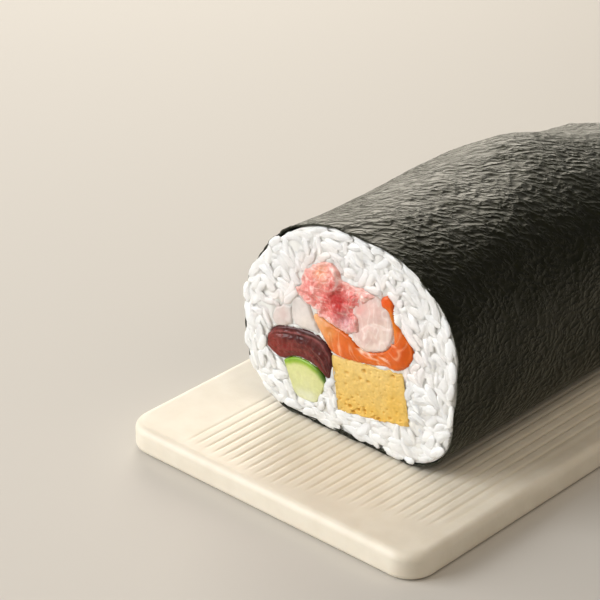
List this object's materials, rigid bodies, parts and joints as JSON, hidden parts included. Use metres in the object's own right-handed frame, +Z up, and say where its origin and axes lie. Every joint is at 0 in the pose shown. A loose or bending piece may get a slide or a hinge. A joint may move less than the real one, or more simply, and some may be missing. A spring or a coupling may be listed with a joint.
{
  "type": "maki sushi roll",
  "caption": "Thick maki sushi roll with a cut face of rice, fish, egg and cucumber in nori, lying on its ribbed rectangular ceramic plate.",
  "frame": {"origin": "centre of the plate's underside", "axes": "+Z up, the roll and the plate's long side lie along Y, and the roll's shown cut face looks towards -Y"},
  "size_m": [0.083, 0.15, 0.0556],
  "materials": {
    "plate": "ivory glaze, satin",
    "nori": "toasted seaweed sheet, fine wrinkles, faint sheen",
    "rice": "moist steamed rice grains",
    "marinated_tuna": "wet dark fish flesh",
    "cucumber": "wet cut flesh with green skin",
    "tamagoyaki": "porous egg omelette",
    "salmon": "wet fish flesh with fat lines",
    "shrimp": "translucent wet flesh",
    "minced_tuna": "soft minced fish",
    "white_fish": "translucent wet flesh"
  },
  "bodies": {
    "root": {"plate": "plate", "nori": "nori", "rice": "rice", "marinated_tuna": "marinated_tuna", "cucumber": "cucumber", "tamagoyaki": "tamagoyaki", "salmon": "salmon", "shrimp": "shrimp", "minced_tuna": "minced_tuna", "white_fish_right": "white_fish", "white_fish_left": "white_fish"}
  },
  "joints": []
}
